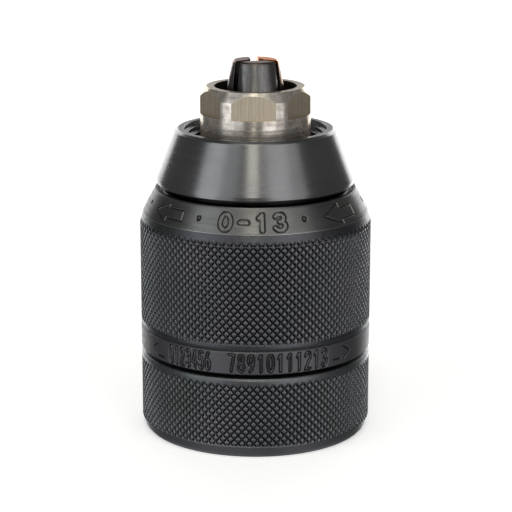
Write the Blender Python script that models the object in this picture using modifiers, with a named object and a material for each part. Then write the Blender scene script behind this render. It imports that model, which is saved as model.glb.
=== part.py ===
"""Two-sleeve keyless drill chuck with its threaded ring, thrust bearing and locking ratchet.

The chuck stands on its rear face. Its axis is +Z, with the nose at the top and the origin at the centre of the
rear face. Each piece of the assembly is one closed solid. Sizes below are millimetres.
"""

import math

import bmesh
import bpy
from mathutils import Matrix, Vector

MM = 0.001
SEGMENTS = 40  # sides of every turned piece

# Chuck body: nose, neck, shoulder, thread groove, flange and rear boss
NOSE_R = 10.13
NOSE_TOP = 64.3
NOSE_MOUTH_R = 7.57
NOSE_FACE_R = 8.98
NOSE_CHAMFER_END = 62.5
COUNTERBORE_END = 58.0
TOOL_CAVITY_R = 6.6
TOOL_CAVITY_END = 19.0
SPINDLE_BORE_R = 6.0
SPINDLE_BORE_DEPTH = 16.0
SPINDLE_CHAMFER = 0.6
SCREW_HOLE_R = 3.3
SHOULDER_R = 11.4
SHOULDER_TOP = 52.3
SHOULDER_BOTTOM = 45.0
RETAINING_GROOVE_R = 9.7
RETAINING_GROOVE_TOP = 53.0
THREAD_GROOVE_R = 9.4
FLANGE_R = 17.5
FLANGE_TOP = 34.0
FLANGE_BOTTOM = 15.2
SEAT_R = 17.2
SEAT_BOTTOM = 2.3
BOSS_R = 14.0
BOSS_CHAMFER = 0.4
FLAT_COUNT = 6
FLAT_DISTANCE = 9.3
FLAT_BOTTOM = 59.35
FLAT_AZIMUTH = -92.0  # degrees, the middle of the first flat
CUTTER_MARGIN = 1.0  # how far a cutter passes the faces it cuts through

# Jaws: rods that slide along lines inclined to the chuck axis
JAW_AZIMUTHS = (-82.0, 38.0, 158.0)
JAW_ANGLE = math.radians(15.0)
JAW_R = 3.9
JAW_REFERENCE_Z = 64.0
JAW_REFERENCE_RHO = 1.6  # distance of a jaw's axis from the chuck axis at the reference height
JAW_TOP = 69.0
JAW_REAR = 37.0
JAW_TRAVEL = 20.0  # along the jaw, from the rest position to fully open
JAW_SEGMENTS = 32
JAW_BORE_CLEARANCE = 0.12
JAW_BORE_BOTTOM = 16.8
WEDGE_APEX = 0.85  # how far the 120 degree wedge's edge stands off the chuck axis in the rest position
GRIP_LAND = 1.35  # the flat gripping edge's distance from the chuck axis in the rest position
TIP_TOP_R = 4.2
TIP_BASE_R = 5.85
TIP_BASE_Z = 61.0
TIP_FLARE_R = 9.5  # the tip's base runs out to the rod at 45 degrees
TIP_EDGE = 0.22
TIP_EDGE_OVERLAP = 0.02  # how far the tip's edge cut passes the top face
CUTTER_REACH = 9.0  # half width of the cutters that shape a jaw

# Thread between the threaded ring and the jaws
PITCH = 2.5  # along a jaw, for one turn of the ring
THREAD_CREST_OFFSET = 3.0  # from the jaw axis to the ridge's crest
THREAD_ROOT_OFFSET = 4.05
RIDGE_CREST_WIDTH = 0.7
RIDGE_ROOT_WIDTH = 1.5
THREAD_CLEARANCE = 0.25
RING_R = 16.6
RING_BOTTOM = 38.05
RING_TOP = 43.2
RING_CHAMFER = 1.2
RING_SPLIT_GAP = 0.3
RING_SPLIT_AZIMUTH = 10.0
GROOVE_TURNS = (-1, 4)  # first and last turn of the groove between the ridges
GROOVE_OVERLAP = 0.6  # how far the groove's cutter stands in front of the crests
THREAD_STEPS = SEGMENTS  # per turn
RING_BAND_R = (16.75, 17.7)

# Thrust bearing
RACE_R = (14.2, 17.4)
LOWER_RACE_Z = (34.1, 34.9)
UPPER_RACE_Z = (37.1, 37.9)
BALL_COUNT = 15
BALL_R = 1.0
BALL_PITCH_R = 15.9
BALL_Z = 36.0
CAGE_R = (14.4, 17.3)
CAGE_Z = (35.6, 36.4)
CAGE_POCKET_R = 1.15
BALL_RINGS = (10, 6)

# Sleeves. Edges are given as a radius and a height.
SLEEVE_R = 21.35
SLEEVE_BORE_R = 18.6
SLEEVE_UPPER_BORE_R = 17.9
SLEEVE_TOP = 45.6
SLEEVE_MOUTH_EDGES = ((18.35, 45.6), (18.6, 45.35))
SLEEVE_SHOULDER_FOOT = (20.7, 41.4)
SLEEVE_WALL_Z = (20.7, 39.1)
SLEEVE_FOOT_CHAMFER = (0.3, 0.45)
SLEEVE_SPIGOT_R = 19.9
SLEEVE_SPIGOT_BOTTOM = 16.3
BAND_TOP = 20.0
BAND_BOTTOM = 15.7
BAND_BORE_R = 20.05
BAND_EDGE = 0.25
REAR_TOP = 15.0
REAR_R = 21.35
REAR_TOP_CHAMFER = (0.3, 0.45)
REAR_FOOT_EDGES = ((21.3, 2.1), (20.9, 0.8), (20.2, 0.0))
REAR_BORE_R = 17.35
REAR_WEB_R = 14.3
REAR_WEB_Z = 2.0

# Front cap, from its mouth down its outside to the skirt, and the steps inside its mouth
CAP_MOUTH_R = 13.1
CAP_TOP = 56.55
CAP_OUTSIDE = ((14.2, 56.55), (14.8, 56.15), (18.0, 48.0), (18.2, 47.3), (18.2, 46.7), (17.95, 46.34))
CAP_BOTTOM = 46.34
CAP_GROOVE_R = 17.1
CAP_GROOVE_BOTTOM = 45.3
CAP_SKIRT_R = (16.3, 17.7)
CAP_SKIRT_BOTTOM = 44.6
CAP_INSIDE = ((13.4, 53.3), (10.6, 53.3))
CAP_MOUTH_STEPS = ((10.6, 54.0), (11.4, 54.0), (11.5, 54.9), (12.25, 54.9), (12.35, 55.7), (12.95, 55.7))

# Lock and retaining ring
RETAINING_R = (9.85, 11.3)
RETAINING_Z = (52.4, 52.9)
RETAINING_GAP_HALF_WIDTH = 1.6
RATCHET_TEETH = 24
RATCHET_BORE_R = 11.55
RATCHET_ROOT_R = 12.3
RATCHET_TIP_R = 13.0
RATCHET_LEAD = 0.4  # degrees from a tooth's root to its steep face's tip
RATCHET_LAND = 1.5  # degrees of flat on a tooth's tip
LOCK_Z = (45.9, 48.0)
CARRIER_R = (13.3, 16.1)
CARRIER_Z = (44.7, 45.6)
PAWL_PIVOT_R = 14.3
PAWL_AZIMUTH = 100.0
PAWL_PIN_R = 0.6
PAWL_PIN_OVERLAP = 0.3  # how far the pin is sunk in the washer and stands out of the pawl
PAWL_HOLE_R = 0.75
PAWL_HUB_R = 1.1
PAWL_SPAN = 35.0  # degrees from the pivot to the tooth
PAWL_ARM_R = (13.7, 14.7)
PAWL_TIP_R = 13.25
PAWL_TOOTH_SPAN = 5.0
PAWL_TIP_SHARE = 0.4  # part of the tooth's span that is its flat tip
RATCHET_PHASE = PAWL_AZIMUTH + PAWL_SPAN + 1.6
SPRING_R = (15.05, 15.25)
SPRING_SPAN = (9.0, 46.0)
SPRING_GAP = 0.15  # above the carrier washer


def clear_scene():
    """Empty the scene and return the collections for the parts and for the cutters."""
    for thing in list(bpy.data.objects):
        bpy.data.objects.remove(thing)
    parts = bpy.data.collections.new("drill_chuck")
    cutters = bpy.data.collections.new("cutters")
    for collection in (parts, cutters):
        bpy.context.scene.collection.children.link(collection)
    return parts, cutters


PARTS, CUTTERS = clear_scene()


def material(name, colour, roughness, metallic=1.0):
    """A plain Principled material for one piece."""
    made = bpy.data.materials.new(name)
    made.use_nodes = True
    shader = made.node_tree.nodes["Principled BSDF"]
    shader.inputs["Base Color"].default_value = (*colour, 1.0)
    shader.inputs["Roughness"].default_value = roughness
    shader.inputs["Metallic"].default_value = metallic
    return made


BLACK_STEEL = (0.045, 0.046, 0.050)
DARK_STEEL = (0.13, 0.13, 0.135)
BRIGHT_STEEL = (0.56, 0.53, 0.49)
BEARING_STEEL = (0.62, 0.63, 0.65)
SPRING_STEEL = (0.30, 0.30, 0.33)
BRASS = (0.70, 0.52, 0.26)


def jaw_rho(z):
    """Distance of a jaw's axis from the chuck axis at a height, in the rest position."""
    return JAW_REFERENCE_RHO + (JAW_REFERENCE_Z - z) * math.tan(JAW_ANGLE)


def polar(radius, degrees):
    """A point in the plane from its radius and azimuth."""
    angle = math.radians(degrees)
    return radius * math.cos(angle), radius * math.sin(angle)


def add_object(name, mesh, collection):
    """Link a mesh as an object of a collection."""
    thing = bpy.data.objects.new(name, mesh)
    collection.objects.link(thing)
    if collection == CUTTERS:
        thing.hide_render = True
        thing.display_type = "WIRE"
    return thing


def mesh_from(name, build):
    """A mesh filled by a function of a bmesh, scaled from millimetres to metres."""
    mesh = bpy.data.meshes.new(name)
    work = bmesh.new()
    build(work)
    bmesh.ops.scale(work, vec=(MM, MM, MM), verts=work.verts)
    work.to_mesh(mesh)
    work.free()
    return mesh


def turned(name, profile, collection=PARTS):
    """A ring turned about the Z axis. The profile starts at its top inner corner and runs down its outer side."""

    def build(work):
        points = [work.verts.new((radius, 0, z)) for radius, z in profile]
        for first, second in zip(points, points[1:] + points[:1]):
            work.edges.new((first, second))

    thing = add_object(name, mesh_from(name, build), collection)
    screw = thing.modifiers.new("Turn", "SCREW")
    screw.steps = SEGMENTS
    screw.render_steps = SEGMENTS
    screw.use_merge_vertices = True
    screw.merge_threshold = 1e-6
    screw.use_smooth_shade = True
    return thing


def ring(name, radii, heights, collection=PARTS):
    """A plain turned ring from its inner and outer radius and its bottom and top."""
    (inner, outer), (bottom, top) = radii, heights
    return turned(name, [(inner, top), (outer, top), (outer, bottom), (inner, bottom)], collection)


def cylinder(name, radius, start, end, sides, collection=CUTTERS):
    """A cylinder between two points."""
    start, end = Vector(start), Vector(end)
    along = end - start
    turn = Vector((0, 0, 1)).rotation_difference(along).to_matrix().to_4x4()

    def build(work):
        place = Matrix.Translation((start + end) / 2) @ turn
        bmesh.ops.create_cone(
            work, cap_ends=True, segments=sides, radius1=radius, radius2=radius, depth=along.length, matrix=place
        )

    return add_object(name, mesh_from(name, build), collection)


def prism(name, outline, bottom, top, collection=CUTTERS):
    """A flat outline, listed anticlockwise, raised between two heights."""

    def build(work):
        face = work.faces.new([work.verts.new((x, y, bottom)) for x, y in outline])
        raised = bmesh.ops.extrude_face_region(work, geom=[face])["geom"]
        lifted = [item for item in raised if isinstance(item, bmesh.types.BMVert)]
        bmesh.ops.translate(work, vec=(0, 0, top - bottom), verts=lifted)
        bmesh.ops.recalc_face_normals(work, faces=work.faces)

    return add_object(name, mesh_from(name, build), collection)


def boolean(thing, tool, operation="DIFFERENCE"):
    """Cut a piece with a tool, or join or intersect the two."""
    step = thing.modifiers.new(operation.title(), "BOOLEAN")
    step.operation = operation
    step.solver = "EXACT"
    step.object = tool


def settle(thing, origin=(0, 0, 0), azimuth=0.0):
    """Fix a piece's modifiers in its mesh, shade it, and move its origin to a point given in millimetres.

    The piece was built at azimuth 0 and is turned about the chuck axis to the azimuth given in degrees.
    """
    graph = bpy.context.evaluated_depsgraph_get()
    mesh = bpy.data.meshes.new_from_object(thing.evaluated_get(graph))
    thing.modifiers.clear()
    origin = Vector(origin) * MM
    mesh.transform(Matrix.Translation(-origin))
    mesh.shade_smooth()
    mesh.set_sharp_from_angle(angle=math.radians(30))
    thing.data = mesh
    thing.matrix_world = Matrix.Rotation(math.radians(azimuth), 4, "Z") @ Matrix.Translation(origin)


def drop_cutters():
    """Remove the cutters once the pieces that they shape are settled."""
    for tool in list(CUTTERS.objects):
        bpy.data.objects.remove(tool)


def dress(thing, colour, roughness):
    """Give a piece its own material."""
    thing.data.materials.clear()
    thing.data.materials.append(material(thing.name, colour, roughness))


def chuck_body():
    """The core: nose with six spanner flats, tool cavity, jaw bores, bearing flange and spindle bore."""
    profile = [
        (NOSE_MOUTH_R, NOSE_TOP),
        (NOSE_FACE_R, NOSE_TOP),
        (NOSE_R, NOSE_CHAMFER_END),
        (NOSE_R, RETAINING_GROOVE_TOP),
        (RETAINING_GROOVE_R, RETAINING_GROOVE_TOP),
        (RETAINING_GROOVE_R, SHOULDER_TOP),
        (SHOULDER_R, SHOULDER_TOP),
        (SHOULDER_R, SHOULDER_BOTTOM),
        (THREAD_GROOVE_R, SHOULDER_BOTTOM),
        (THREAD_GROOVE_R, FLANGE_TOP),
        (FLANGE_R, FLANGE_TOP),
        (FLANGE_R, FLANGE_BOTTOM),
        (SEAT_R, FLANGE_BOTTOM),
        (SEAT_R, SEAT_BOTTOM),
        (BOSS_R, SEAT_BOTTOM),
        (BOSS_R, BOSS_CHAMFER),
        (BOSS_R - BOSS_CHAMFER, 0),
        (SPINDLE_BORE_R + SPINDLE_CHAMFER, 0),
        (SPINDLE_BORE_R, SPINDLE_CHAMFER),
        (SPINDLE_BORE_R, SPINDLE_BORE_DEPTH),
        (SCREW_HOLE_R, SPINDLE_BORE_DEPTH),
        (SCREW_HOLE_R, TOOL_CAVITY_END),
        (TOOL_CAVITY_R, TOOL_CAVITY_END),
        (TOOL_CAVITY_R, COUNTERBORE_END),
        (NOSE_MOUTH_R, COUNTERBORE_END),
    ]
    body = turned("chuck_body", profile)
    for azimuth in JAW_AZIMUTHS:
        low, high = JAW_BORE_BOTTOM, NOSE_TOP + CUTTER_MARGIN
        start = (*polar(jaw_rho(low), azimuth), low)
        end = (*polar(jaw_rho(high), azimuth), high)
        bore_r = JAW_R + JAW_BORE_CLEARANCE
        boolean(body, cylinder(f"bore_{azimuth:.0f}", bore_r, start, end, JAW_SEGMENTS))
    outside = NOSE_R + CUTTER_MARGIN
    outline = [(FLAT_DISTANCE, -NOSE_R), (outside, -NOSE_R), (outside, NOSE_R), (FLAT_DISTANCE, NOSE_R)]
    for index in range(FLAT_COUNT):
        azimuth = FLAT_AZIMUTH + index * 360 / FLAT_COUNT
        tool = prism(f"flat_{index}", outline, FLAT_BOTTOM, NOSE_TOP + CUTTER_MARGIN)
        tool.rotation_euler.z = math.radians(azimuth)
        boolean(body, tool)
    bpy.context.view_layer.update()
    settle(body)
    drop_cutters()
    dress(body, BRIGHT_STEEL, 0.32)


def ridge_half_width(offset):
    """Half the width of the thread ridge at a distance from the jaw axis."""
    slope = (RIDGE_ROOT_WIDTH - RIDGE_CREST_WIDTH) / 2 / (THREAD_ROOT_OFFSET - THREAD_CREST_OFFSET)
    return RIDGE_CREST_WIDTH / 2 + slope * (offset - THREAD_CREST_OFFSET)


def thread_point(crest_z, offset, along):
    """Radius and height of a point of the thread's profile, which leans with the jaw.

    The offset is the point's distance from the jaw axis, and the other length is its place along the jaw.
    """
    rise = offset - THREAD_CREST_OFFSET
    radius = jaw_rho(crest_z) + THREAD_CREST_OFFSET / math.cos(JAW_ANGLE)
    radius += rise * math.cos(JAW_ANGLE) - along * math.sin(JAW_ANGLE)
    return radius, crest_z + rise * math.sin(JAW_ANGLE) + along * math.cos(JAW_ANGLE)


def tooth_gap_profile(crest_z):
    """The profile of a gap between jaw teeth, which clears a ridge of the ring all round."""
    near, far = THREAD_CREST_OFFSET - THREAD_CLEARANCE, JAW_R + CUTTER_MARGIN / 2
    corners = ((near, 1), (far, 1), (far, -1), (near, -1))
    return [
        thread_point(crest_z, offset, side * (ridge_half_width(offset) + THREAD_CLEARANCE))
        for offset, side in corners
    ]


def ridge_height(azimuth, turn):
    """Height of the thread ridge's crest at an azimuth in degrees, on a given turn of the helix."""
    rise = PITCH * math.cos(JAW_ANGLE)
    return RING_BOTTOM + rise * (turn + azimuth / 360)


def thread_groove_cutter():
    """The helical groove between the ridges of the threaded ring, as a loft along a conical helix."""
    first, last = GROOVE_TURNS
    steps = (last - first) * THREAD_STEPS
    mouth = THREAD_CREST_OFFSET - GROOVE_OVERLAP

    def build(work):
        rows = []
        for step in range(steps + 1):
            azimuth = step * 360 / THREAD_STEPS
            middle = ridge_height(azimuth, first + 0.5)
            row = []
            for offset, side in ((mouth, 1), (THREAD_ROOT_OFFSET, 1), (THREAD_ROOT_OFFSET, -1), (mouth, -1)):
                half = PITCH / 2 - max(ridge_half_width(offset), RIDGE_CREST_WIDTH / 2)
                radius, height = thread_point(middle, offset, side * half)
                row.append(work.verts.new((*polar(radius, azimuth), height)))
            rows.append(row)
        for row, after in zip(rows, rows[1:]):
            for corner in range(4):
                follow = (corner + 1) % 4
                work.faces.new((row[corner], row[follow], after[follow], after[corner]))
        work.faces.new(rows[0])
        work.faces.new(rows[-1])
        bmesh.ops.recalc_face_normals(work, faces=work.faces)

    return add_object("thread_groove", mesh_from("thread_groove", build), CUTTERS)


def threaded_ring():
    """The split ring that drives the jaws, as two halves with a conical thread inside, and the band around it."""
    crest = THREAD_CREST_OFFSET / math.cos(JAW_ANGLE)
    chamfer = RING_TOP - RING_CHAMFER
    for index in (1, 2):
        profile = [
            (jaw_rho(RING_TOP) + crest + RING_CHAMFER, RING_TOP),
            (RING_R, RING_TOP),
            (RING_R, RING_BOTTOM),
            (jaw_rho(RING_BOTTOM) + crest, RING_BOTTOM),
            (jaw_rho(chamfer) + crest, chamfer),
        ]
        half = turned(f"threaded_ring_half_{index}", profile)
        boolean(half, thread_groove_cutter())
        reach, near = RING_R + CUTTER_MARGIN, RING_SPLIT_GAP / 2
        outline = [(-reach, -reach), (near, -reach), (near, reach), (-reach, reach)]
        other_side = prism("other_side", outline, RING_BOTTOM - CUTTER_MARGIN, RING_TOP + CUTTER_MARGIN)
        other_side.rotation_euler.z = math.radians(RING_SPLIT_AZIMUTH + 180 * index)
        boolean(half, other_side)
        bpy.context.view_layer.update()
        settle(half)
        drop_cutters()
        dress(half, DARK_STEEL, 0.38)
    band = ring("ring_band", RING_BAND_R, (RING_BOTTOM, RING_TOP))
    settle(band)
    dress(band, DARK_STEEL, 0.4)


def jaw_thread_cutters(jaw, azimuth):
    """Cut the gaps between the jaw's teeth: one tilted round groove for each ridge of the ring that reaches it.

    The ridges reach from the jaw's rear, at rest, to the ring's top when the jaw is fully open.
    """
    rise = PITCH * math.cos(JAW_ANGLE)
    mesh_radius = jaw_rho(RING_TOP)
    tilt = math.atan(rise / (2 * math.pi * (mesh_radius + THREAD_CREST_OFFSET)))
    first = ridge_height(azimuth % 360, 0)
    while first > JAW_REAR - rise / 2:
        first -= rise
    highest = RING_TOP + JAW_TRAVEL * math.cos(JAW_ANGLE)
    for index in range(1, int((highest - first) / rise) + 1):
        height = first + index * rise
        inward = jaw_rho(height) - mesh_radius
        outline = [(radius - inward, z - height) for radius, z in tooth_gap_profile(height)]
        tool = turned(f"tooth_gap_{index}", outline, CUTTERS)
        tool.matrix_world = Matrix.Translation(Vector((inward, 0, height)) * MM) @ Matrix.Rotation(tilt, 4, "X")
        boolean(jaw, tool)


def jaw(number, azimuth):
    """One jaw: an inclined rod with a 120 degree gripping wedge, a conical tip and thread teeth on its back."""
    high = JAW_TOP + CUTTER_MARGIN
    start, end = (jaw_rho(JAW_REAR), 0, JAW_REAR), (jaw_rho(high), 0, high)
    rod = cylinder(f"jaw_{number}", JAW_R, start, end, JAW_SEGMENTS, PARTS)

    far = CUTTER_REACH
    spread = math.tan(math.radians(60))
    land_y, far_y = (GRIP_LAND - WEDGE_APEX) * spread, (far - WEDGE_APEX) * spread
    outline = [
        (GRIP_LAND, land_y),
        (far, far_y),
        (-far, far_y),
        (-far, -far_y),
        (far, -far_y),
        (GRIP_LAND, -land_y),
    ]
    boolean(rod, prism("wedge", outline, JAW_REAR - JAW_R, high + JAW_R))

    ceiling = high + JAW_R
    top_outline = [(-far, -far), (far, -far), (far, far), (-far, far)]
    boolean(rod, prism("tip_top", top_outline, JAW_TOP, ceiling))
    outside, flare_z = TIP_FLARE_R + JAW_R, TIP_BASE_Z - (TIP_FLARE_R - TIP_BASE_R)
    around = [
        (TIP_TOP_R - TIP_EDGE * 2, ceiling),
        (outside, ceiling),
        (outside, flare_z),
        (TIP_FLARE_R, flare_z),
        (TIP_BASE_R, TIP_BASE_Z),
        (TIP_TOP_R, JAW_TOP - TIP_EDGE),
        (TIP_TOP_R - TIP_EDGE, JAW_TOP + TIP_EDGE_OVERLAP),
    ]
    boolean(rod, turned("tip_cone", around, CUTTERS))
    jaw_thread_cutters(rod, azimuth)
    bpy.context.view_layer.update()
    settle(rod, (JAW_REFERENCE_RHO, 0, JAW_REFERENCE_Z), azimuth)
    drop_cutters()
    dress(rod, DARK_STEEL, 0.34)


def thrust_bearing():
    """Two races, a cage and its balls between the body's flange and the threaded ring."""
    for name, heights in (("lower_race", LOWER_RACE_Z), ("upper_race", UPPER_RACE_Z)):
        race = ring(name, RACE_R, heights)
        settle(race)
        dress(race, BEARING_STEEL, 0.22)

    cage = ring("ball_cage", CAGE_R, CAGE_Z)
    for index in range(BALL_COUNT):
        x, y = polar(BALL_PITCH_R, index * 360 / BALL_COUNT)
        low, high = CAGE_Z[0] - CUTTER_MARGIN, CAGE_Z[1] + CUTTER_MARGIN
        tool = cylinder(f"pocket_{index}", CAGE_POCKET_R, (x, y, low), (x, y, high), 12)
        boolean(cage, tool)
    bpy.context.view_layer.update()
    settle(cage)
    drop_cutters()
    dress(cage, BRASS, 0.35)

    around, up = BALL_RINGS
    ball_mesh = mesh_from(
        "ball", lambda work: bmesh.ops.create_uvsphere(work, u_segments=around, v_segments=up, radius=BALL_R)
    )
    ball_mesh.shade_smooth()
    ball_mesh.materials.append(material("ball", BEARING_STEEL, 0.08))
    for index in range(BALL_COUNT):
        ball = add_object(f"ball_{index + 1:02d}", ball_mesh, PARTS)
        ball.location = Vector((*polar(BALL_PITCH_R, index * 360 / BALL_COUNT), BALL_Z)) * MM


def clamping_sleeve():
    """The large upper sleeve that the hand turns, with a spigot that carries the marking ring."""
    inward, rise = SLEEVE_FOOT_CHAMFER
    bottom, top = SLEEVE_WALL_Z
    profile = [
        (SLEEVE_UPPER_BORE_R, SLEEVE_TOP),
        *SLEEVE_MOUTH_EDGES,
        SLEEVE_SHOULDER_FOOT,
        (SLEEVE_R, top),
        (SLEEVE_R, bottom),
        (SLEEVE_R - inward, bottom - rise),
        (SLEEVE_SPIGOT_R, bottom - rise),
        (SLEEVE_SPIGOT_R, SLEEVE_SPIGOT_BOTTOM),
        (SLEEVE_BORE_R, SLEEVE_SPIGOT_BOTTOM),
        (SLEEVE_BORE_R, RING_BOTTOM),
        (SLEEVE_UPPER_BORE_R, RING_BOTTOM),
    ]
    sleeve = turned("clamping_sleeve", profile)
    settle(sleeve)
    dress(sleeve, BLACK_STEEL, 0.42)


def marking_ring():
    """The plain band below the knurl, pressed on the sleeve's spigot."""
    profile = [
        (BAND_BORE_R, BAND_TOP),
        (SLEEVE_R - BAND_EDGE, BAND_TOP),
        (SLEEVE_R, BAND_TOP - BAND_EDGE),
        (SLEEVE_R, BAND_BOTTOM + BAND_EDGE),
        (SLEEVE_R - BAND_EDGE, BAND_BOTTOM),
        (BAND_BORE_R, BAND_BOTTOM),
    ]
    band = turned("marking_ring", profile)
    settle(band)
    dress(band, BLACK_STEEL, 0.5)


def rear_sleeve():
    """The lower knurled sleeve, pressed on the body, that the hand holds still."""
    inward, drop = REAR_TOP_CHAMFER
    profile = [
        (REAR_BORE_R, REAR_TOP),
        (REAR_R - inward, REAR_TOP),
        (REAR_R, REAR_TOP - drop),
        *REAR_FOOT_EDGES,
        (REAR_WEB_R, 0.0),
        (REAR_WEB_R, REAR_WEB_Z),
        (REAR_BORE_R, REAR_WEB_Z),
    ]
    sleeve = turned("rear_sleeve", profile)
    settle(sleeve)
    dress(sleeve, BLACK_STEEL, 0.42)


def front_cap():
    """The conical cap with a stepped mouth, a groove above the clamping sleeve and a skirt inside it."""
    profile = [
        (CAP_MOUTH_R, CAP_TOP),
        *CAP_OUTSIDE,
        (CAP_GROOVE_R, CAP_BOTTOM),
        (CAP_GROOVE_R, CAP_GROOVE_BOTTOM),
        (CAP_SKIRT_R[1], CAP_GROOVE_BOTTOM),
        (CAP_SKIRT_R[1], CAP_SKIRT_BOTTOM),
        (CAP_SKIRT_R[0], CAP_SKIRT_BOTTOM),
        (CAP_SKIRT_R[0], CAP_BOTTOM),
        *CAP_INSIDE,
        *CAP_MOUTH_STEPS,
    ]
    cap = turned("front_cap", profile)
    settle(cap)
    dress(cap, BLACK_STEEL, 0.3)


def retaining_ring():
    """The open snap ring in the neck's groove, under the cap's web."""
    snap = ring("retaining_ring", RETAINING_R, RETAINING_Z)
    half = RETAINING_GAP_HALF_WIDTH
    outside = RETAINING_R[1] + CUTTER_MARGIN
    outline = [(0, -half), (outside, -half), (outside, half), (0, half)]
    boolean(snap, prism("opening", outline, RETAINING_Z[0] - CUTTER_MARGIN, RETAINING_Z[1] + CUTTER_MARGIN))
    bpy.context.view_layer.update()
    settle(snap)
    drop_cutters()
    dress(snap, SPRING_STEEL, 0.35)


def ratchet_ring():
    """The toothed lock ring on the body's shoulder. Its steep faces meet the pawl as the sleeve is released."""
    step = 360 / RATCHET_TEETH
    outline = []
    for tooth in range(RATCHET_TEETH):
        start = RATCHET_PHASE + tooth * step
        outline.append(polar(RATCHET_ROOT_R, start - RATCHET_LEAD))
        outline.append(polar(RATCHET_TIP_R, start))
        outline.append(polar(RATCHET_TIP_R, start + RATCHET_LAND))
    teeth = prism("ratchet_ring", outline, *LOCK_Z, PARTS)
    low, high = LOCK_Z[0] - CUTTER_MARGIN, LOCK_Z[1] + CUTTER_MARGIN
    boolean(teeth, cylinder("ratchet_bore", RATCHET_BORE_R, (0, 0, low), (0, 0, high), SEGMENTS))
    bpy.context.view_layer.update()
    settle(teeth)
    drop_cutters()
    dress(teeth, DARK_STEEL, 0.35)


def pawl_carrier():
    """The washer under the cap that carries the pawl on its pin."""
    carrier = ring("pawl_carrier", CARRIER_R, CARRIER_Z)
    x, y = polar(PAWL_PIVOT_R, PAWL_AZIMUTH)
    low, high = CARRIER_Z[0] + PAWL_PIN_OVERLAP, LOCK_Z[1] + PAWL_PIN_OVERLAP
    pin = cylinder("pawl_pin", PAWL_PIN_R, (x, y, low), (x, y, high), 16)
    boolean(carrier, pin, "UNION")
    bpy.context.view_layer.update()
    settle(carrier)
    drop_cutters()
    dress(carrier, SPRING_STEEL, 0.4)


def arc(radius, first, last, count):
    """Points along an arc, ends included."""
    return [polar(radius, first + (last - first) * index / (count - 1)) for index in range(count)]


def locking_pawl():
    """The arm with one tooth that swings in behind the ratchet ring's teeth."""
    begin, finish = PAWL_AZIMUTH, PAWL_AZIMUTH + PAWL_SPAN
    inner, outer = PAWL_ARM_R
    outline = arc(outer, begin, finish, 9)
    outline += [polar(PAWL_TIP_R, finish), polar(PAWL_TIP_R, finish - PAWL_TOOTH_SPAN * PAWL_TIP_SHARE)]
    outline += [polar(inner, finish - PAWL_TOOTH_SPAN)]
    outline += arc(inner, finish - PAWL_TOOTH_SPAN - 1, begin, 8)
    outline.reverse()
    pawl = prism("locking_pawl", outline, *LOCK_Z, PARTS)
    x, y = polar(PAWL_PIVOT_R, PAWL_AZIMUTH)
    hub = cylinder("pawl_hub", PAWL_HUB_R, (x, y, LOCK_Z[0]), (x, y, LOCK_Z[1]), 20)
    low, high = LOCK_Z[0] - CUTTER_MARGIN, LOCK_Z[1] + CUTTER_MARGIN
    hole = cylinder("pawl_hole", PAWL_HOLE_R, (x, y, low), (x, y, high), 16)
    boolean(pawl, hub, "UNION")
    boolean(pawl, hole)
    bpy.context.view_layer.update()
    settle(pawl, (x, y, LOCK_Z[0]))
    drop_cutters()
    dress(pawl, SPRING_STEEL, 0.35)


def pawl_spring():
    """The curved leaf that leans on the pawl from outside."""
    begin, finish = (PAWL_AZIMUTH + edge for edge in SPRING_SPAN)
    outline = arc(SPRING_R[1], begin, finish, 13) + arc(SPRING_R[0], finish, begin, 13)
    leaf = prism("pawl_spring", outline, CARRIER_Z[1] + SPRING_GAP, LOCK_Z[1], PARTS)
    settle(leaf)
    dress(leaf, SPRING_STEEL, 0.3)


chuck_body()
threaded_ring()
for jaw_number, jaw_azimuth in enumerate(JAW_AZIMUTHS, 1):
    jaw(jaw_number, jaw_azimuth)
thrust_bearing()
clamping_sleeve()
marking_ring()
rear_sleeve()
front_cap()
retaining_ring()
ratchet_ring()
pawl_carrier()
locking_pawl()
pawl_spring()
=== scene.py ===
"""The look of a two-sleeve keyless drill chuck.

Fine turned meshes with real knurls and engraved marks, procedural steels, a pale floor and soft
studio light. Lengths named below are millimetres, as on the chuck's drawing.
"""

import math

import bmesh
import bpy
import numpy as np
from mathutils import Matrix, Vector


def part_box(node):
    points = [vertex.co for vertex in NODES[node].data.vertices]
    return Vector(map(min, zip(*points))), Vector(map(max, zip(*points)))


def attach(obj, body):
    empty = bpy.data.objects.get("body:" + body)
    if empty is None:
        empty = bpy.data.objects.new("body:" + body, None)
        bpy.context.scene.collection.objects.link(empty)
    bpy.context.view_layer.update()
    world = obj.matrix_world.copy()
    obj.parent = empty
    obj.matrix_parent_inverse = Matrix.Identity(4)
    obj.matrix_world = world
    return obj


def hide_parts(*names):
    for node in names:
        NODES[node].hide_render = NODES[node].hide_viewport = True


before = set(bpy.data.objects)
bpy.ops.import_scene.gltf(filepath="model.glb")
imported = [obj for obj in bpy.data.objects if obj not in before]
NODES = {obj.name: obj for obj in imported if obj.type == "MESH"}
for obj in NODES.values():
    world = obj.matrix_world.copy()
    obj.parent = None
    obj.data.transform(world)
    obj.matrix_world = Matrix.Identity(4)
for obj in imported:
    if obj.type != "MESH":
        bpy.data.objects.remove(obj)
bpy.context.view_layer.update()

MM = 0.001


# ---------------------------------------------------------------- sizes read from the frame, in millimetres


def reach(node):
    """A turned node's largest radius, bottom and top."""
    low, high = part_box(node)
    return high.x / MM, low.z / MM, high.z / MM


SLEEVE_R, SLEEVE_BOTTOM, SLEEVE_TOP = reach("clamping_sleeve")
BAND_R, BAND_BOTTOM, BAND_TOP = reach("marking_ring")
REAR_R, _, REAR_TOP = reach("rear_sleeve")
CAP_R, CAP_BOTTOM, CAP_TOP = reach("front_cap")
FLANGE_R, _, BODY_TOP = reach("chuck_body")

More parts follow.
